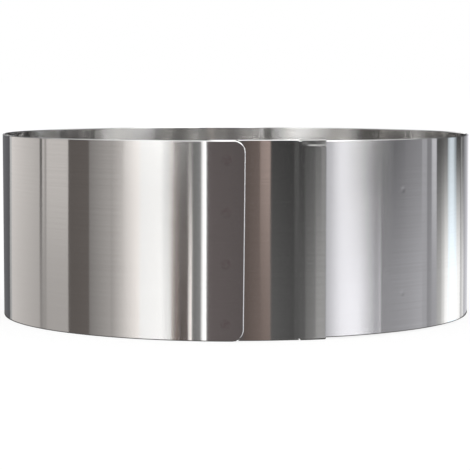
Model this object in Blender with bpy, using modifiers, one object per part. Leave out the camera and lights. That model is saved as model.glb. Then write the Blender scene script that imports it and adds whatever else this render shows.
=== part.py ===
# Adjustable cake ring.
#
# One springy stainless strip is rolled round and lapped on itself. A thin guide plate is spot
# welded behind the strip's outer end, and its four corner ears are folded round the edges of
# the layer that slides behind it, so the ring can be drawn smaller or let out larger.
#
# Metres, +Z up. The origin is the centre of the ring's foot. Angles are measured about +Z from
# the front, which is -Y, and grow towards +X.

import math

import bmesh
import bpy
from mathutils import Matrix

# Driving dimensions

ring_diameter = 0.220          # outside, as the ring is set
largest_diameter = 0.260       # the ring let out as far as the guide still holds it
strip_height = 0.0844
sliding_end_cut_down = 0.0009  # the strip's inner end is this much lower, to run between the ears
strip_thickness = 0.0005
strip_corner_radius = 0.005
lap_length_when_largest = 0.028

plate_thickness = 0.0004
plate_length = 0.0500          # round the ring
plate_under_strip = 0.0152     # how far the plate reaches back under the strip's outer end

ear_length = 0.0113            # round the ring
ear_lip_height = 0.0032        # how far an ear comes back behind the sliding layer
ear_corner_radius = 0.0012
relief_width = 0.0008          # the notch beside an ear, which lets it bend without tearing
rim_past_bend = 0.0005         # the plate's body goes this far past the ears' bend lines

weld_diameter = 0.0045
weld_from_strip_end = 0.0077
weld_print_depth = 0.0001      # how deep the electrodes marked the strip's outer face

sheet_gap = 0.0003             # between sheets that lie on each other
outer_end_past_front = 0.0036  # the strip's outer end, right of the front centre line
cut_overrun = 0.001

# Places and proportions

weld_height_shares = (0.087, 0.390, 0.645, 0.905)
lap_step_start_turn_share = 0.433   # where the strip steps inward, as shares of a turn
lap_step_end_turn_share = 0.660     # back from the outer end

# Fineness of the mesh

facet_angle = math.radians(2.5)
angle_precision = math.radians(0.002)
sharp_angle = math.radians(35)
corner_steps = 5
fold_steps = 3
weld_sides = 16

# Finish of the bare stainless sheet, as colour and roughness

strip_finish = ((0.78, 0.77, 0.76), 0.12)
plate_finish = ((0.72, 0.72, 0.72), 0.18)
weld_finish = ((0.45, 0.43, 0.42), 0.35)

# Sizes that follow

turn = 2 * math.pi
outer_radius = ring_diameter / 2
outer_layer_radius = outer_radius - strip_thickness / 2
lap_step = strip_thickness + sheet_gap + plate_thickness + sheet_gap
plate_radius = outer_layer_radius - strip_thickness / 2 - sheet_gap - plate_thickness / 2
inner_layer_radius = outer_layer_radius - lap_step
lip_radius = inner_layer_radius - strip_thickness / 2 - sheet_gap - plate_thickness / 2
fold_radius = sheet_gap + plate_thickness / 2
ear_rise = sheet_gap + plate_thickness      # how far an ear stands past the sliding end's edge
sliding_end_height = strip_height - sliding_end_cut_down
sliding_end_drop = sliding_end_cut_down - ear_rise
strip_length = math.pi * largest_diameter + lap_length_when_largest

outer_end_angle = outer_end_past_front / outer_radius
plate_left_angle = outer_end_angle - plate_under_strip / plate_radius
plate_right_angle = plate_left_angle + plate_length / plate_radius
weld_angle = outer_end_angle - weld_from_strip_end / plate_radius


def polar(radius, angle, height):
    """A point of the ring, from its angle to the right of the front."""
    return (radius * math.sin(angle), -radius * math.cos(angle), height)


def ease(share):
    """Runs smoothly from 0 to 1, with level ends."""
    share = min(max(share, 0), 1)
    return share * share * (3 - 2 * share)


def layers_in(unrolled):
    """How many lap steps the strip has taken at this angle back from its outer end."""
    turns = unrolled / turn
    step_width = lap_step_end_turn_share - lap_step_start_turn_share
    return math.floor(turns) + ease((turns % 1 - lap_step_start_turn_share) / step_width)


def strip_radius(unrolled):
    return outer_layer_radius - lap_step * layers_in(unrolled)


def strip_foot(unrolled):
    """The sliding end's foot is an ear's thickness higher, so that ears and strip stand level."""
    return ear_rise * min(layers_in(unrolled), 1)


def strip_head(unrolled):
    return strip_height - sliding_end_drop * min(layers_in(unrolled), 1)


def unrolled_length(unrolled):
    """Length of strip from its outer end to this angle, summed in facets."""
    count = math.ceil(unrolled / facet_angle)
    step = unrolled / count
    return sum(strip_radius((index + 1 / 2) * step) * step for index in range(count))


def angle_at_length(length):
    """The unrolled angle that uses up this length of strip."""
    low = 0
    high = length / lip_radius
    while high - low > angle_precision:
        middle = (low + high) / 2
        if unrolled_length(middle) < length:
            low = middle
        else:
            high = middle
    return (low + high) / 2


def rounded_end_insets(radius, steps):
    """Distance from the end and inset of the edge, for the stations round a corner."""
    corner_turn = math.pi / 2
    for index in range(steps + 1):
        angle = corner_turn * index / steps
        yield radius * (1 - math.cos(angle)), radius * (1 - math.sin(angle))


def add_collection(name):
    collection = bpy.data.collections.new(name)
    bpy.context.scene.collection.children.link(collection)
    return collection


def steel(name, finish):
    colour, roughness = finish
    material = bpy.data.materials.new(name)
    material.use_nodes = True
    shader = material.node_tree.nodes["Principled BSDF"]
    shader.inputs["Base Color"].default_value = (*colour, 1)
    shader.inputs["Metallic"].default_value = 1
    shader.inputs["Roughness"].default_value = roughness
    return material


def add_object(name, mesh_data, material, collection):
    part = bpy.data.objects.new(name, mesh_data)
    part.data.materials.append(material)
    collection.objects.link(part)
    return part


def sheet_from_columns(name, columns):
    """An open sheet, lofted through columns of points that all have the same count."""
    work = bmesh.new()
    rows = [[work.verts.new(point) for point in column] for column in columns]
    for left, right in zip(rows, rows[1:]):
        join_rows(work, left, right)
    mesh_data = bpy.data.meshes.new(name)
    work.to_mesh(mesh_data)
    work.free()
    return mesh_data


def join_rows(work, left, right):
    """Faces between two neighbouring columns of points, listed upwards, seen from outside."""
    for lower in range(len(left) - 1):
        corners = (left[lower], right[lower], right[lower + 1], left[lower + 1])
        work.faces.new(corners)


def give_thickness(part, thickness):
    wall = part.modifiers.new("sheet thickness", "SOLIDIFY")
    wall.thickness = thickness
    wall.offset = 0
    wall.use_even_offset = True


def shade(mesh_data):
    mesh_data.shade_smooth()
    mesh_data.set_sharp_from_angle(angle=sharp_angle)


def strip_stations(end_angle):
    """Unrolled angle and edge inset of every station along the strip, outer end first."""
    corner = list(rounded_end_insets(strip_corner_radius, corner_steps))
    stations = [(distance / outer_layer_radius, inset) for distance, inset in corner]
    inner_radius = strip_radius(end_angle)
    closing = [(end_angle - distance / inner_radius, inset) for distance, inset in reversed(corner)]
    first = stations[-1][0]
    last = closing[0][0]
    count = math.ceil((last - first) / facet_angle)
    for index in range(1, count):
        stations.append((first + (last - first) * index / count, 0))
    return stations + closing


def make_band_strip(collection, cutters):
    """The strip, rolled round from its outer end to its inner one, with the weld prints at its outer end."""
    end_angle = angle_at_length(strip_length)
    columns = []
    for unrolled, inset in strip_stations(end_angle):
        radius = strip_radius(unrolled)
        angle = outer_end_angle - unrolled
        columns.append([
            polar(radius, angle, strip_foot(unrolled) + inset),
            polar(radius, angle, strip_head(unrolled) - inset),
        ])
    columns.reverse()
    mesh_data = sheet_from_columns("band_strip", columns)
    shade(mesh_data)
    material = steel("bright strip", strip_finish)
    part = add_object("band_strip", mesh_data, material, collection)
    give_thickness(part, strip_thickness)
    print_radius = outer_radius - weld_print_depth + cut_overrun / 2
    for number, height_share in enumerate(weld_height_shares, 1):
        cutter = add_disc(
            f"weld_print_cutter_{number}", weld_diameter, cut_overrun,
            print_radius, height_share, material, cutters)
        cut_away(part, cutter)
    return part


def fold_section(lip_inset):
    """Radius and distance past the bend line of an ear's fold, from the body round to its lip.

    The two bends turn round the corners of the sliding layer's edge, one gap clear of it.
    """
    outer_centre = plate_radius - fold_radius
    inner_centre = lip_radius + fold_radius
    bend = math.pi / 2
    points = []
    for centre, start in ((outer_centre, 0), (inner_centre, bend)):
        for index in range(fold_steps + 1):
            angle = start + bend * index / fold_steps
            points.append((centre + fold_radius * math.cos(angle), fold_radius * math.sin(angle)))
    points.append((lip_radius, lip_inset - ear_lip_height))
    return points


def plate_column(angle, ear_inset):
    """One column of the plate's body, and past its bend lines an ear's fold or the straight rim."""
    foot = ear_rise
    head = foot + sliding_end_height
    body = [polar(plate_radius, angle, foot), polar(plate_radius, angle, head)]
    if ear_inset is None:
        section = [(plate_radius, 0), (plate_radius, rim_past_bend)]
    else:
        section = fold_section(ear_inset)
    lower = [polar(radius, angle, foot - past) for radius, past in section]
    upper = [polar(radius, angle, head + past) for radius, past in section]
    return lower, body, upper


def ear_stations(start_angle):
    """Angles across one ear, and how far its lip is drawn in at its rounded corners."""
    corner = list(rounded_end_insets(ear_corner_radius, corner_steps))
    end_angle = start_angle + ear_length / plate_radius
    opening = [(start_angle + distance / plate_radius, inset) for distance, inset in corner]
    closing = [(end_angle - distance / plate_radius, inset) for distance, inset in reversed(corner)]
    return opening + closing


def make_guide_plate(collection, cutters):
    """Plate with two ears above and two below, folded round the sliding layer's edges.

    The straight rim between two ears stops short of them, which leaves a relief notch beside each.
    """
    work = bmesh.new()
    left_ear = ear_stations(plate_left_angle)
    right_ear = ear_stations(plate_right_angle - ear_length / plate_radius)
    rim_start = left_ear[-1][0] + relief_width / plate_radius
    rim_end = right_ear[0][0] - relief_width / plate_radius
    count = math.ceil((rim_end - rim_start) / facet_angle)
    rim = [(rim_start + (rim_end - rim_start) * index / count, None) for index in range(count + 1)]

    previous = None
    for angle, ear_inset in left_ear + rim + right_ear:
        lower, body, upper = plate_column(angle, ear_inset)
        body_verts = [work.verts.new(point) for point in body]
        rows = {
            "is_rim": ear_inset is None,
            "body": body_verts,
            "lower": body_verts[:1] + [work.verts.new(point) for point in lower[1:]],
            "upper": body_verts[1:] + [work.verts.new(point) for point in upper[1:]],
        }
        if previous:
            join_rows(work, previous["body"], rows["body"])
            if previous["is_rim"] == rows["is_rim"]:
                join_rows(work, previous["lower"][::-1], rows["lower"][::-1])
                join_rows(work, previous["upper"], rows["upper"])
        previous = rows

    mesh_data = bpy.data.meshes.new("guide_plate")
    work.to_mesh(mesh_data)
    work.free()
    shade(mesh_data)
    material = steel("guide plate", plate_finish)
    part = add_object("guide_plate", mesh_data, material, collection)
    give_thickness(part, plate_thickness)
    for number, height_share in enumerate(weld_height_shares, 1):
        cutter = add_disc(
            f"weld_hole_cutter_{number}", weld_diameter + sheet_gap * 2,
            plate_thickness + cut_overrun * 2, plate_radius, height_share, material, cutters)
        cut_away(part, cutter)
    return part


def cut_away(part, cutter):
    cutter.hide_render = True
    cutter.display_type = "WIRE"
    cut = part.modifiers.new(f"{cutter.name} cut", "BOOLEAN")
    cut.operation = "DIFFERENCE"
    cut.solver = "EXACT"
    cut.object = cutter


def add_disc(name, diameter, depth, radius, height_share, material, collection):
    """A flat round disc in the weld column, centred at this radius and facing outward."""
    work = bmesh.new()
    bmesh.ops.create_cone(
        work, cap_ends=True, segments=weld_sides, radius1=diameter / 2, radius2=diameter / 2,
        depth=depth, matrix=Matrix.Rotation(math.pi / 2, 4, "X"))
    mesh_data = bpy.data.meshes.new(name)
    work.to_mesh(mesh_data)
    work.free()
    shade(mesh_data)
    part = add_object(name, mesh_data, material, collection)
    part.location = polar(radius, weld_angle, strip_height * height_share)
    part.rotation_euler.z = weld_angle
    return part


def make_spot_welds(collection):
    """Four nuggets in the plate, under the strip's outer end."""
    welds = []
    for number, height_share in enumerate(weld_height_shares, 1):
        material = steel(f"weld nugget {number}", weld_finish)
        welds.append(add_disc(
            f"spot_weld_{number}", weld_diameter, plate_thickness,
            plate_radius, height_share, material, collection))
    return welds


for old_object in list(bpy.data.objects):
    bpy.data.objects.remove(old_object, do_unlink=True)

ring = add_collection("cake_ring")
cutter_collection = add_collection("cutters")
make_band_strip(ring, cutter_collection)

guide_turn = bpy.data.objects.new("guide_turn", None)
ring.objects.link(guide_turn)
for moving_piece in [make_guide_plate(ring, cutter_collection), *make_spot_welds(ring)]:
    moving_piece.parent = guide_turn
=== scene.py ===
import math

import bmesh
import bpy
from mathutils import Matrix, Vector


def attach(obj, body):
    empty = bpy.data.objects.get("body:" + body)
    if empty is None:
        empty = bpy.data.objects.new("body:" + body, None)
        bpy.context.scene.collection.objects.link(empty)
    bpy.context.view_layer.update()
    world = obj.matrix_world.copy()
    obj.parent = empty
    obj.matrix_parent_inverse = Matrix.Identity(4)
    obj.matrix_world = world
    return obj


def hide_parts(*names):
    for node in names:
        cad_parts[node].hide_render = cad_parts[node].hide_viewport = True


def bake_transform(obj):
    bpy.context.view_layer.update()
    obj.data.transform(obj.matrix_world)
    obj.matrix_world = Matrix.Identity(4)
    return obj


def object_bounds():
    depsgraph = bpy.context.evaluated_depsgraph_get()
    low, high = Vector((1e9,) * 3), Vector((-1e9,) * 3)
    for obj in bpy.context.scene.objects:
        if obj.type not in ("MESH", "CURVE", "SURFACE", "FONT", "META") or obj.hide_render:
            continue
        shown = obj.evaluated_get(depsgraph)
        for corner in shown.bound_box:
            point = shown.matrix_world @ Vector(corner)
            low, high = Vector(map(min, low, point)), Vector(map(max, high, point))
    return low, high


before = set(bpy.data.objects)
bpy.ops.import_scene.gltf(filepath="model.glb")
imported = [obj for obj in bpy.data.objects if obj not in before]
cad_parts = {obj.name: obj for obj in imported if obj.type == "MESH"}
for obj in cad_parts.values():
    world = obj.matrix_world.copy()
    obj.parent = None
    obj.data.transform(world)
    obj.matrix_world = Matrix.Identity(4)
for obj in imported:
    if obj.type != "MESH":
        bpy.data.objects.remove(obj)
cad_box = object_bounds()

# Strip: one springy stainless blank, cut with rounded corners and deburred. It is rolled round
# and lapped on itself. The lapped end lies deeper and is cut narrower, because the guide plate
# and its ears pass between the layers and round that end's edges.

outer_radius = -cad_box[0][1]
strip_height = 0.0844
sliding_end_height = 0.0835
strip_thickness = 0.0005
strip_length = 0.8448
corner_radius = 0.005
outer_end_past_front = 0.0036
end_lean = 0.0105
lean_fades_over = 0.040
edge_radius = 0.00012
ground_margin = 0.00027
ground_off = 0.00011
step_start_turn_share = 0.433
step_end_turn_share = 0.660
sheet_gap = 0.0003
plate_thickness = 0.0004

turn = 2 * math.pi
outer_layer = outer_radius - strip_thickness / 2
outer_end_angle = outer_end_past_front / outer_radius
lap_step = strip_thickness + plate_thickness + 2 * sheet_gap
ear_rise = plate_thickness + sheet_gap
head_drop = strip_height - sliding_end_height - ear_rise
step_start = step_start_turn_share * turn
step_end = step_end_turn_share * turn
inner_end = (strip_length - lap_step * (step_start + step_end) / 2) / (outer_layer - lap_step)
facet = math.radians(0.5)
crease = math.radians(14)
corner_facets = 14
edge_row = 0.0012
mark_step = 0.0003


def ease(share):
    share = min(max(share, 0), 1)
    return share * share * (3 - 2 * share)


def rolled(along, height, inward=0):
    """Where a point of the flat blank lies once the strip is rolled round."""
    leaning = end_lean * (1 - ease(along / lean_fades_over))
    unrolled = (along + leaning * (strip_height - height)) / outer_layer
    lapped = ease((unrolled - step_start) / (step_end - step_start))
    radius = outer_layer - lap_step * lapped - inward
    angle = outer_end_angle - unrolled
    share_up = height / strip_height
    level = height + lapped * (ear_rise * (1 - share_up) - head_drop * share_up)
    return radius * math.sin(angle), -radius * math.cos(angle), level


def every(first, last, step):
    """Even cuts between two places, not counting the places themselves."""
    count = max(1, math.ceil((last - first) / step))
    return [first + (last - first) * index / count for index in range(1, count)]


def cut_flat(blank, axis, places, chosen=None, keep_below=False):
    """Cuts a flat blank across at each place, so that it can be rolled or folded there."""
    direction = [0, 0, 0]
    direction[axis] = 1
    for place in places:
        point = [0, 0, 0]
        point[axis] = place
        faces = [face for face in blank.faces if chosen is None or chosen(face)]
        edges = {edge for face in faces for edge in face.edges}
        corners = {vert for face in faces for vert in face.verts}
        bmesh.ops.bisect_plane(
            blank, geom=faces + list(edges) + list(corners), dist=1e-7, plane_co=point,
            plane_no=direction, clear_outer=keep_below)


def deburr(blank, radius, margin, ground_off):
    """Rounds the outline on both faces. The narrow margin beside it is ground off a little too."""
    blank.normal_update()
    outline = [
        edge for edge in blank.edges
        if sorted(round(abs(face.normal.z)) for face in edge.link_faces) == [0, 1]]
    bmesh.ops.bevel(
        blank, geom=outline, offset=radius, segments=2, profile=0.5, affect="EDGES", material=-1)
    blank.normal_update()
    faces = [face for face in blank.faces if abs(face.normal.z) > 0.999]
    bmesh.ops.inset_region(
        blank, faces=faces, thickness=margin, depth=ground_off, use_even_offset=True)
    for face in blank.faces:
        face.material_index = 0 if face in faces else 1


def keep_flat_coordinates(blank):
    """The UV map holds the flat blank's own metres, so that the finish follows the sheet."""
    flat = blank.loops.layers.uv.new("flat")
    for face in blank.faces:
        for loop in face.loops:
            loop[flat].uv = loop.vert.co.xy


def sheet_piece(name, blank):
    mesh = bpy.data.meshes.new(name)
    blank.to_mesh(mesh)
    blank.free()
    mesh.shade_smooth()
    mesh.set_sharp_from_angle(angle=crease)
    piece = bpy.data.objects.new(name, mesh)
    bpy.context.scene.collection.objects.link(piece)
    return piece


def strip_blank(length):
    """A flat length of the strip, thickness and all, with its first two corners at x = 0."""
    blank = bmesh.new()
    bmesh.ops.create_cube(blank, size=1)
    edge_thickness = strip_thickness - 2 * ground_off
    bmesh.ops.scale(blank, vec=(length, strip_height, edge_thickness), verts=blank.verts)
    bmesh.ops.translate(blank, vec=(length / 2, strip_height / 2, 0), verts=blank.verts)
    upright = [edge for edge in blank.edges if edge.calc_length() < 2 * strip_thickness]
    bmesh.ops.bevel(
        blank, geom=upright, offset=corner_radius, segments=corner_facets, profile=0.5,
        affect="EDGES", material=-1)
    deburr(blank, edge_radius, ground_margin, ground_off)
    return blank


def cut_for_rolling(blank, first, last):
    stations = sorted({round(vert.co.x, 5) for vert in blank.verts})
    cut_flat(blank, 0, [place for place in stations if first < place < last])
    cut_flat(blank, 0, every(first + corner_radius, last - corner_radius, facet * outer_layer))
    cut_flat(blank, 1, [edge_row, strip_height / 2, strip_height - edge_row])


def cut_for_marks(blank, along, heights, reach):
    """Cuts a blank finely round a few places in a column, where marks are pressed into it."""
    sides = (along - reach, along + reach)
    cut_flat(blank, 0, [*sides, *every(*sides, mark_step)])
    for height in heights:
        rows = every(height - reach, height + reach, mark_step)
        cut_flat(blank, 1, rows, lambda face: abs(face.calc_center_median().x - along) < reach)


def mark(along, height, mark_along, heights, flat_to, fades_to):
    """1 inside a round mark, easing to 0 round it."""
    away = min(math.hypot(along - mark_along, height - place) for place in heights)
    return 1 - ease((away - flat_to) / (fades_to - flat_to))


def roll(blank, press=None):
    for vert in blank.verts:
        inward = vert.co.z + (press(vert.co.x, vert.co.y) if press else 0)
        vert.co = rolled(vert.co.x, vert.co.y, inward)


outer_stretch_turn = math.radians(152)
blank_cut = outer_stretch_turn * outer_layer
blank_end = inner_end * outer_layer
dent_along = 0.614
dent_heights = (0.0169, 0.0623)
dent_radius = 0.0018
dent_reach = 1.2 * dent_radius
dent_depth = 0.000045


def dent(along, height):
    return dent_depth * mark(along, height, dent_along, dent_heights, 0, dent_radius)


blank = strip_blank(blank_end)
cut_flat(blank, 0, [blank_end - blank_cut], keep_below=True)
for vert in blank.verts:
    vert.co.x = blank_end - vert.co.x
bmesh.ops.reverse_faces(blank, faces=blank.faces)
cut_for_rolling(blank, blank_cut, blank_end)
cut_for_marks(blank, dent_along, dent_heights, dent_reach)
keep_flat_coordinates(blank)
roll(blank, dent)
strip_wall = sheet_piece("strip_wall", blank)
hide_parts("band_strip")
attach(strip_wall, "band")


class Wire:
    """A shader socket that can be used in sums, which adds the Math nodes."""

    def __init__(self, finish, socket):
        self.finish = finish
        self.socket = socket

    def maths(self, operation, *values):
        sockets = dict(enumerate(values))
        return self.finish.node("ShaderNodeMath", {"operation": operation}, sockets)

    def __add__(self, other):
        return self.maths("ADD", self, other)

    def __mul__(self, other):
        return self.maths("MULTIPLY", self, other)

    def __sub__(self, other):
        return self.maths("SUBTRACT", self, other)

    __radd__ = __add__


class Finish:
    """A new material and its nodes. It starts with the Principled shader."""

    def __init__(self, name):
        self.material = bpy.data.materials.new(name)
        self.material.use_nodes = True
        self.tree = self.material.node_tree
        self.shader = self.tree.nodes["Principled BSDF"]

    def node(self, kind, settings=None, sockets=None, output=0):
        made = self.tree.nodes.new(kind)
        for name, value in (settings or {}).items():
            setattr(made, name, value)
        for name, value in (sockets or {}).items():
            self.plug(made.inputs[name], value)
        return Wire(self, made.outputs[output])

    def plug(self, socket, value):
        if isinstance(value, Wire):
            self.tree.links.new(value.socket, socket)
        else:
            socket.default_value = value

    def set(self, **sockets):
        for name, value in sockets.items():
            self.plug(self.shader.inputs[name.replace("_", " ").title()], value)


def bright_sheet(name, light, dull, roughness, coordinates="flat"):
    """Bright rolled stainless: fine lines run round the ring, with faint clouds and gentle waves.

    The weld prints are mottled with heat.
    """
    finish = Finish(name)
    if coordinates == "flat":
        place = finish.node("ShaderNodeUVMap", {"uv_map": "flat"})
    else:
        place = finish.node("ShaderNodeTexCoord", output="Object")
    lines_place = finish.node("ShaderNodeMapping", sockets={"Vector": place, "Scale": (9, 1500, 9)})
    lines = finish.node("ShaderNodeTexNoise", sockets={"Vector": lines_place, "Scale": 1, "Detail": 3})
    cloud_place = finish.node("ShaderNodeMapping", sockets={"Vector": place, "Scale": (14, 30, 14)})
    clouds = finish.node("ShaderNodeTexNoise", sockets={"Vector": cloud_place, "Scale": 1, "Detail": 4})
    wave_place = finish.node("ShaderNodeMapping", sockets={"Vector": place, "Scale": (30, 9, 30)})
    waves = finish.node("ShaderNodeTexNoise", sockets={"Vector": wave_place, "Scale": 1, "Detail": 1})
    mottle_place = finish.node("ShaderNodeMapping", sockets={"Vector": place, "Scale": (700, 700, 700)})
    mottle = finish.node("ShaderNodeTexNoise", sockets={"Vector": mottle_place, "Scale": 1, "Detail": 2})
    print_marks = finish.node("ShaderNodeAttribute", {"attribute_name": "weld print"}, output="Fac")
    heat = print_marks * (mottle * 2.4 - 0.75)
    sheet_colour = finish.node(
        "ShaderNodeMix", {"data_type": "RGBA"},
        {"Factor": clouds * 0.5 + lines - 0.2, "A": (*light, 1), "B": (*dull, 1)}, output="Result")
    colour = finish.node(
        "ShaderNodeMix", {"data_type": "RGBA"},
        {"Factor": heat * 0.5, "A": sheet_colour, "B": (0.66, 0.52, 0.54, 1)},
        output="Result")
    fine = finish.node("ShaderNodeBump", sockets={"Height": lines, "Distance": 0.0000035, "Strength": 1})
    wavy = finish.node(
        "ShaderNodeBump", sockets={"Height": waves, "Distance": 0.00006, "Strength": 1, "Normal": fine})
    grain = roughness + lines * 0.03 + clouds * 0.03 + print_marks * 0.02
    finish.set(base_color=colour, roughness=grain, normal=wavy)
    finish.set(metallic=1, anisotropic=1, anisotropic_rotation=0.25)
    return finish.material


strip_steel = bright_sheet("bright strip", (0.93, 0.925, 0.915), (0.84, 0.83, 0.815), 0.075)
edge_finish = Finish("deburred edge")
edge_finish.set(base_color=(1, 1, 0.99, 1), metallic=1, roughness=0.22)
strip_edge = edge_finish.material
strip_wall.data.materials.append(strip_steel)
strip_wall.data.materials.append(strip_edge)

# Outer end: the visible last stretch of the same strip, which lies over the guide plate and is
# spot welded to it. The electrodes left four round prints in a column near its end.

weld_from_end = 0.0077
weld_reach = 0.0034
weld_heights = (0.0073, 0.0329, 0.0544, 0.0764)
print_radius = 0.00225
print_flat_to = 0.75 * print_radius
print_fades_to = 1.2 * print_radius
print_depth = 0.00004


def weld_print(along, height):
    return mark(along, height, weld_from_end, weld_heights, print_flat_to, print_fades_to)


blank = strip_blank(blank_end)
cut_flat(blank, 0, [blank_cut], keep_below=True)
cut_for_rolling(blank, 0, blank_cut)
cut_for_marks(blank, weld_from_end, weld_heights, weld_reach)
keep_flat_coordinates(blank)
prints = [weld_print(vert.co.x, vert.co.y) for vert in blank.verts]
roll(blank, lambda along, height: print_depth * weld_print(along, height))
strip_outer_end = sheet_piece("strip_outer_end", blank)
marks = strip_outer_end.data.attributes.new("weld print", "FLOAT", "POINT")
marks.data.foreach_set("value", prints)
strip_outer_end.data.materials.append(strip_steel)
strip_outer_end.data.materials.append(strip_edge)
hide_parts("band_strip")
rolled(blank_cut, strip_height / 2)
rolled(math.radians(10) * outer_layer, strip_height / 2)
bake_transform(strip_outer_end)

# Guide plate: a thinner formed plate behind the strip's outer end. Two ears above and two below
# are folded inward round the edges of the sliding layer, and pressed in a little at their roots.
# A relief notch beside each ear lets it bend without tearing.

plate_length = 0.0500
plate_under_strip = 0.0152
ear_length = 0.0113
lip_height = 0.0032
ear_corner = 0.0012
relief_width = 0.0008
rim_past_bend = 0.0005
root_press = 0.00023
press_reach = 0.0024
press_slope = 0.0010
press_fades_before_side = 0.0040
press_fades_over = 0.0045
plate_edge_radius = 0.00011
plate_ground_margin = 0.0002
plate_ground_off = 0.00007
unground_height = 0.001
unground_from_end = 0.0005
unground_past_notch = 0.0004
ear_corner_facets = 6
fold_facets = 6
end_row = 0.0006
root_rows_from = 0.0010
root_rows_to = 0.0026
root_rows_step = 0.0002
last_root_row = 0.0030
fold_radius = sheet_gap + plate_thickness / 2
plate_radius = outer_layer - strip_thickness / 2 - sheet_gap - plate_thickness / 2
lip_gap = strip_thickness + plate_thickness + 2 * sheet_gap
plate_left = outer_end_angle - plate_under_strip / plate_radius
quarter = math.pi / 2 * fold_radius
crossing = lip_gap - 2 * fold_radius
flap = 2 * quarter + crossing + lip_height
plate_edge_thickness = plate_thickness - 2 * plate_ground_off


def folded(beyond, outward):
    """How far past the bend line and how far inward a point of an ear lies."""
    reach = fold_radius + outward
    if beyond < quarter:
        angle = beyond / fold_radius
        return reach * math.sin(angle), fold_radius - reach * math.cos(angle)
    if beyond < quarter + crossing:
        return reach, fold_radius + beyond - quarter
    if beyond < 2 * quarter + crossing:
        angle = (beyond - quarter - crossing) / fold_radius
        return reach * math.cos(angle), lip_gap - fold_radius + reach * math.sin(angle)
    return 2 * quarter + crossing - beyond, lip_gap + outward


def in_ear(along):
    """1 near the plate's end, easing to 0 at the ear's inner side."""
    from_end = min(along, plate_length - along)
    return 1 - ease((from_end - ear_length + press_fades_before_side) / press_fades_over)


def formed(along, height, outward):
    """Where a point of the flat plate lies once its ears are folded and it is rolled."""
    below = height < sliding_end_height / 2
    beyond = -height if below else height - sliding_end_height
    inward = -outward
    if not below:
        inward += root_press * in_ear(along) * min(max((press_reach + beyond) / press_slope, 0), 1)
    past = beyond
    is_ear = min(along, plate_length - along) < ear_length + relief_width / 2
    if beyond > 0 and is_ear:
        past, way_in = folded(beyond, outward)
        inward += way_in + outward
    level = -past if below else sliding_end_height + past
    angle = plate_left + along / plate_radius
    radius = plate_radius - inward
    return radius * math.sin(angle), -radius * math.cos(angle), level + ear_rise


def outside_outline(face):
    """True where the blank has no metal: beside and between the ears."""
    centre = face.calc_center_median()
    from_end = min(centre.x, plate_length - centre.x)
    beyond = abs(centre.y - sliding_end_height / 2) - sliding_end_height / 2
    in_notch = ear_length < from_end < ear_length + relief_width
    return beyond > 0 and in_notch or beyond > rim_past_bend and from_end > ear_length


def outside_rim(face):
    """True in the relief notches and on the ears, which aren't ground."""
    centre = face.calc_center_median()
    from_end = min(centre.x, plate_length - centre.x)
    beyond = abs(centre.y - sliding_end_height / 2) - sliding_end_height / 2
    past_notch = ear_length + relief_width + unground_past_notch
    return beyond > -unground_height and unground_from_end < from_end < past_notch


blank = bmesh.new()
bmesh.ops.create_grid(blank, x_segments=1, y_segments=1, size=0.5)
bmesh.ops.scale(blank, vec=(plate_length, sliding_end_height + 2 * flap, 1), verts=blank.verts)
bmesh.ops.translate(blank, vec=(plate_length / 2, sliding_end_height / 2, 0), verts=blank.verts)
ear_sides = [ear_length, ear_length + relief_width]
cut_flat(blank, 0, ear_sides + [plate_length - side for side in ear_sides])
cut_flat(blank, 1, [-rim_past_bend, 0, sliding_end_height, sliding_end_height + rim_past_bend])
bmesh.ops.delete(blank, geom=[face for face in blank.faces if outside_outline(face)], context="FACES")
half_way_up = sliding_end_height / 2
tips = [vert for vert in blank.verts if abs(vert.co.y - half_way_up) > half_way_up + flap / 2]
bmesh.ops.bevel(
    blank, geom=tips, offset=ear_corner, segments=ear_corner_facets, profile=0.5,
    affect="VERTICES", material=-1)
underside = blank.faces[:]
grown = bmesh.ops.extrude_face_region(blank, geom=underside, use_keep_orig=True)["geom"]
grown_corners = [item for item in grown if isinstance(item, bmesh.types.BMVert)]
bmesh.ops.translate(blank, vec=(0, 0, plate_edge_thickness), verts=grown_corners)
bmesh.ops.translate(blank, vec=(0, 0, -plate_edge_thickness / 2), verts=blank.verts)
bmesh.ops.recalc_face_normals(blank, faces=blank.faces)
deburr(blank, plate_edge_radius, plate_ground_margin, plate_ground_off)
for face in blank.faces:
    if outside_rim(face):
        face.material_index = 0
cut_flat(blank, 0, every(end_row, plate_length - end_row, facet * plate_radius))
fold_step = quarter / fold_facets
second_bend = quarter + crossing
fold_rows = [*every(0, quarter, fold_step), quarter, second_bend]
fold_rows += [*every(second_bend, second_bend + quarter, fold_step), second_bend + quarter]
root_rows = [*every(root_rows_from, root_rows_to, root_rows_step), last_root_row]
cut_flat(blank, 1, [-row for row in fold_rows] + [sliding_end_height + row for row in fold_rows])
cut_flat(blank, 1, root_rows + [sliding_end_height - row for row in root_rows])
keep_flat_coordinates(blank)
for vert in blank.verts:
    vert.co = formed(*vert.co)
guide_plate_formed = sheet_piece("guide_plate_formed", blank)
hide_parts("guide_plate")
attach(guide_plate_formed, "guide")
plate_steel = bright_sheet("guide plate steel", (0.91, 0.90, 0.89), (0.80, 0.79, 0.775), 0.08)
guide_plate_formed.data.materials.append(plate_steel)
guide_plate_formed.data.materials.append(strip_edge)

# Spot welds: four nuggets of fused metal that hold the plate to the strip's outer end. Electrodes
# press the two sheets together, and a short current melts them where they touch.

weld_steel = bright_sheet("weld metal", (0.55, 0.53, 0.50), (0.36, 0.33, 0.30), 0.30, "solid")
for number in range(1, 5):
    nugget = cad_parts[f"spot_weld_{number}"]
    nugget.data.materials.clear()
    nugget.data.materials.append(weld_steel)

# Floor: a plain white sheet. Camera rays see it a little lighter, so that it meets the white
# ground of the photograph and still keeps the ring's shadow.

floor_radius = 30
floor_level = -0.0001
floor_tone = 0.22
floor_lift = 0.79

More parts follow.
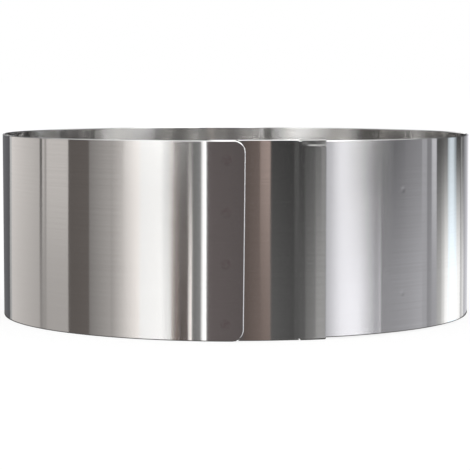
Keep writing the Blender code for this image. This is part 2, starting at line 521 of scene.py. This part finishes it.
floor_work = bmesh.new()
bmesh.ops.create_circle(floor_work, cap_ends=True, segments=96, radius=floor_radius)
bmesh.ops.translate(floor_work, vec=(0, 0, floor_level), verts=floor_work.verts)
floor_mesh = bpy.data.meshes.new("floor")
floor_work.to_mesh(floor_mesh)
floor_work.free()
floor = bpy.data.objects.new("floor", floor_mesh)
bpy.context.scene.collection.objects.link(floor)
floor.visible_glossy = False
paper = Finish("white paper")
seen = paper.node("ShaderNodeLightPath", output="Is Camera Ray")
body = paper.node("ShaderNodeBsdfDiffuse", sockets={"Color": (floor_tone, floor_tone, floor_tone, 1)})
lift = paper.node("ShaderNodeEmission", sockets={"Color": (1, 1, 1, 1), "Strength": seen * floor_lift})
sheet = paper.node("ShaderNodeAddShader", sockets={0: body, 1: lift})
paper.tree.links.new(sheet.socket, paper.tree.nodes["Material Output"].inputs["Surface"])
floor.data.materials.append(paper.material)

# Studio tent: upright cards on a wide circle round the ring, which only its mirror finish sees.
# Each runs evenly from one shade to the next and from its top to its foot. Above them hang a few
# wide cards for the inside of the ring, then a tall hoop with a ceiling on it.

tent_radius = 1.6
ground_level = -1.3
cards_head = 0.2
high_cards_head = 0.6
hoop_head = 3.5
ceiling_shade = 0.35
card_facet = 2
spread_at_foot = 0.84
most_lean = 5
warm = (1.04, 0.99, 0.96)
amber = (1.10, 0.98, 0.92)
plum = (1.10, 0.95, 0.95)
tan = (1.20, 0.95, 0.86)
plain = (1, 1, 1)
cool = (0.98, 0.98, 1.04)
icy = (0.90, 1.00, 1.08)

# From and to in degrees to the right of the camera, the shades at both, the shades there at the
# foot, and a tint.
cards = (
    (-180, -141.5, 0.22, 0.10, 0.22, 0.10, cool),
    (-141.5, -138, 0.48, 0.55, 0.36, 0.41, plain),
    (-138, -106, 0.68, 0.48, 0.58, 0.41, warm),
    (-106, -104, 0.10, 0.10, 0.26, 0.26, warm),
    (-104, -102, 0.58, 0.50, 0.30, 0.31, warm),
    (-102, -100.5, 0.34, 0.34, 0.32, 0.32, warm),
    (-100.5, -84.8, 0.60, 0.60, 0.38, 0.38, warm),
    (-84.8, -72, 0.105, 0.115, 0.10, 0.12, amber),
    (-72, -60, 0.22, 0.38, 0.21, 0.37, warm),
    (-60, -45, 0.36, 0.76, 0.32, 0.92, warm),
    (-45, -34, 0.74, 0.64, 0.96, 1.04, plain),
    (-34, -30, 0.44, 0.34, 1.00, 0.80, plain),
    (-30, -28.2, 0.42, 0.20, 0.46, 0.22, amber),
    (-28.2, -26, 0.09, 0.06, 0.17, 0.12, tan),
    (-26, -22, 0.02, 0.02, 0.06, 0.10, tan),
    (-22, -20.3, 0.02, 0.03, 0.85, 1.30, warm),
    (-20.3, -16.1, 0.15, 0.25, 0.15, 0.25, plain),
    (-16.1, -13.8, 0.90, 1.60, 0.90, 1.60, plain),
    (-13.8, 3, 0.11, 0.09, 0.12, 0.10, plum),
    (3, 10.4, 0.09, 0.14, 0.10, 0.15, tan),
    (10.4, 15, 0.31, 0.40, 0.14, 0.18, tan),
    (15, 26, 0.045, 0.030, 0.12, 0.08, plain),
    (26, 28.4, 0.08, 0.08, 0.10, 0.10, plain),
    (28.4, 31, 0.03, 0.03, 0.12, 0.12, plain),
    (31, 36, 0.05, 0.07, 0.18, 0.25, plain),
    (36, 39, 0.10, 0.11, 0.36, 0.40, plain),
    (39, 41.2, 0.22, 0.22, 0.37, 0.37, plain),
    (41.2, 49, 0.50, 0.70, 0.52, 0.95, cool),
    (49, 53, 0.70, 0.54, 0.95, 1.03, cool),
    (53, 58, 0.48, 0.22, 1.04, 1.00, cool),
    (58, 67, 0.20, 0.04, 1.00, 0.48, cool),
    (67, 69.3, 0.04, 0.04, 0.46, 0.46, cool),
    (69.3, 70.6, 0.05, 0.05, 0.58, 0.58, cool),
    (70.6, 86, 0.07, 0.17, 0.30, 0.38, cool),
    (86, 98, 0.19, 0.25, 0.37, 0.46, cool),
    (98, 102, 0.38, 0.38, 0.40, 0.40, cool),
    (102, 106, 0.21, 0.24, 0.29, 0.34, cool),
    (106, 110.5, 0.56, 0.60, 0.36, 0.39, cool),
    (110.5, 115, 0.04, 0.05, 0.44, 0.55, plain),
    (115, 118, 0.05, 0.06, 0.70, 0.84, plain),
    (118, 122, 0.07, 0.08, 1.05, 1.20, plain),
    (122, 125, 0.36, 0.62, 1.24, 1.32, icy),
    (125, 129.5, 0.68, 0.62, 1.32, 1.32, icy),
    (129.5, 133, 0.46, 0.16, 1.32, 1.32, icy),
    (133, 139, 0.03, 0.03, 1.16, 1.08, plain),
    (139, 141, 0.06, 0.10, 0.55, 0.60, plain),
    (141, 143.5, 0.24, 0.24, 0.65, 0.75, plain),
    (143.5, 146, 0.08, 0.10, 0.75, 0.90, plain),
    (146, 160, 0.18, 0.60, 0.48, 0.75, cool),
    (160, 180, 0.80, 0.90, 0.80, 0.90, cool),
)
# The same for the wide cards above.
high_cards = (
    (-180, -170, 0.05, 0.05, 0.05, 0.05, plain),
    (-170, -145, 1.50, 0.30, 1.50, 0.30, plain),
    (-145, -53, 0.05, 0.05, 0.05, 0.05, plain),
    (-53, -34, 3.00, 8.00, 3.00, 8.00, plain),
    (-34, -20.5, 7.50, 2.50, 7.50, 2.50, plain),
    (-20.5, 45, 0.05, 0.05, 0.05, 0.05, plain),
    (45, 58, 2.00, 7.50, 2.00, 7.50, plain),
    (58, 78, 7.50, 1.00, 7.50, 1.00, plain),
    (78, 180, 0.05, 0.05, 0.05, 0.05, plain),
)
# The same for the hoop, which the rims mirror.
hoop = (
    (-180, -60, 0.50, 0.50, 0.20, 0.20, plain),
    (-60, -36, 1.00, 1.10, 0.30, 0.30, plain),
    (-36, -17, 0.70, 0.60, 0.25, 0.25, plain),
    (-17, -4, 0.90, 0.80, 0.25, 0.25, plain),
    (-4, 28, 0.35, 0.30, 0.25, 0.25, plain),
    (28, 64, 1.70, 1.70, 0.50, 0.50, plain),
    (64, 180, 0.50, 0.50, 0.20, 0.20, plain),
)


def shaded_paper(name):
    """Gives its own light, in the shade that each corner of the mesh holds."""
    paper = Finish(name)
    shade = paper.node("ShaderNodeAttribute", {"attribute_name": "shade"}, output="Color")
    glow = paper.node("ShaderNodeEmission", sockets={"Color": shade, "Strength": 1})
    paper.tree.links.new(glow.socket, paper.tree.nodes["Material Output"].inputs["Surface"])
    return paper.material


def stage_piece(name, work, material, shade_at):
    """A stage piece whose shade at each corner comes from that corner's place."""
    mesh = bpy.data.meshes.new(name)
    work.to_mesh(mesh)
    work.free()
    shades = mesh.color_attributes.new("shade", "FLOAT_COLOR", "POINT")
    for vert, colour in zip(mesh.vertices, shades.data):
        colour.color = (*shade_at(vert.co), 1)
    piece = bpy.data.objects.new(name, mesh)
    bpy.context.scene.collection.objects.link(piece)
    piece.data.materials.append(material)
    piece.visible_camera = False
    piece.visible_diffuse = False
    piece.visible_transmission = False
    piece.visible_shadow = False


card_paper = shaded_paper("studio card")


def at_foot(bearing):
    """A card leans outward at its foot, so that the camera sees it mirrored upright."""
    lean = spread_at_foot * math.tan(math.radians(bearing / 2))
    return bearing + min(max(lean, -most_lean), most_lean)


def hang(name, rows, foot, foot_shade_to, shade_from, head):
    """Hangs a row of cards round the ring.

    Each has its foot shade up to one height, and its own shade from the next height up.
    """
    for number, (start, end, *four_shades, tint) in enumerate(rows, 1):
        work = bmesh.new()
        begin = math.radians(start)
        upright = [
            work.verts.new((tent_radius * math.sin(begin), -tent_radius * math.cos(begin), level))
            for level in (foot, foot_shade_to, shade_from, head)]
        edges = [work.edges.new(pair) for pair in zip(upright, upright[1:])]
        steps = max(2, math.ceil((end - start) / card_facet))
        bmesh.ops.spin(
            work, geom=[*edges, *upright], cent=(0, 0, 0), axis=(0, 0, 1), steps=steps,
            angle=math.radians(end - start), dvec=(0, 0, 0), use_merge=False)

        between = (foot_shade_to + shade_from) / 2
        lower = [vert for vert in work.verts if vert.co.z < between]
        for vert in lower:
            bearing = math.degrees(math.atan2(vert.co.x, -vert.co.y))
            share = ((bearing - start + 1) % 360 - 1) / (end - start)
            leaning = at_foot(start) + (at_foot(end) - at_foot(start)) * share - bearing
            bmesh.ops.rotate(
                work, cent=(0, 0, 0), verts=[vert], matrix=Matrix.Rotation(math.radians(leaning), 3, "Z"))

        def shade_at(place):
            is_lower = place.z < between
            first, last = (at_foot(start), at_foot(end)) if is_lower else (start, end)
            bearing = math.degrees(math.atan2(place.x, -place.y))
            share = ((bearing - first + 1) % 360 - 1) / (last - first)
            first_shade, last_shade = four_shades[2:] if is_lower else four_shades[:2]
            shade = first_shade + (last_shade - first_shade) * share
            return [shade * part for part in tint]

        stage_piece(f"{name}_{number}", work, card_paper, shade_at)


def stage_disc(name, radius, level, sides, shade_at, fan=False):
    work = bmesh.new()
    bmesh.ops.create_circle(work, cap_ends=True, cap_tris=fan, segments=sides, radius=radius)
    bmesh.ops.translate(work, vec=(0, 0, level), verts=work.verts)
    stage_piece(name, work, card_paper, shade_at)


hang("card", cards, foot=ground_level, foot_shade_to=-0.13, shade_from=0.015, head=cards_head)
hang("high_card", high_cards, foot=cards_head, foot_shade_to=0.3, shade_from=0.4, head=high_cards_head)
hang("hoop", hoop, foot=high_cards_head, foot_shade_to=0.8, shade_from=0.85, head=hoop_head)
stage_disc("ceiling", tent_radius, hoop_head, 64, lambda place: [ceiling_shade] * 3)

# The studio's pale ground, which the ring mirrors when it is seen from above, a dark disc of painted shade
# close round its foot, and the paper inside the ring, with painted shade making it darker towards the ring,
# which its inner face mirrors.

ground_shade = 0.70
# Painted shade: a dark disc close round the ring's foot, which only the metal sees.
foot_shade = (0.08, 0.078, 0.075)
foot_shade_width = 0.0015
foot_shade_level = -0.00008
paper_radius = 0.107
paper_level = -0.00005
painted_shade_from = 0.1
paper_shade = 0.6
paper_rim_shade = 0.10


# The paper glows darker near the ring: painted shade where the ring would shade it.
def paper_shade_at(place):
    return [paper_rim_shade if place.xy.length > painted_shade_from else paper_shade] * 3


stage_disc("studio_ground", tent_radius, ground_level, 64, lambda place: [ground_shade] * 3)
# The dark disc of painted shade at the foot, and the mirrored paper with its painted shade.
stage_disc("shade_at_foot", outer_radius + foot_shade_width, foot_shade_level, 96, lambda place: foot_shade)
stage_disc("mirrored_paper", paper_radius, paper_level, 64, paper_shade_at, fan=True)

# Light: a white room, and one large soft lamp overhead.

room = bpy.data.worlds.new("white room")
room.use_nodes = True
room.node_tree.nodes["Background"].inputs["Color"].default_value = (1, 1, 1, 1)
room.node_tree.nodes["Background"].inputs["Strength"].default_value = 1
bpy.context.scene.world = room

lamp_data = bpy.data.lights.new("overhead softbox", "AREA")
lamp_data.size = 1.2
lamp_data.energy = 4
lamp = bpy.data.objects.new("overhead softbox", lamp_data)
lamp.location = (0.3, -1.2, 1.3)
lamp.rotation_euler = (0.745, 0.17, 0)
bpy.context.scene.collection.objects.link(lamp)

# Camera: far off with a long lens, a little above the rim, and tilted down to the ring's middle.

tilt_down = 4.645
turn_left = 0.064
camera_data = bpy.data.cameras.new("camera")
camera_data.lens = 150.5
camera_data.sensor_width = 36
camera = bpy.data.objects.new("camera", camera_data)
camera.location = (0, -0.9287, 0.1115)
camera.rotation_euler = (math.radians(90 - tilt_down), 0, math.radians(turn_left))
bpy.context.scene.collection.objects.link(camera)
bpy.context.scene.camera = camera
bpy.context.scene.view_settings.view_transform = "Standard"
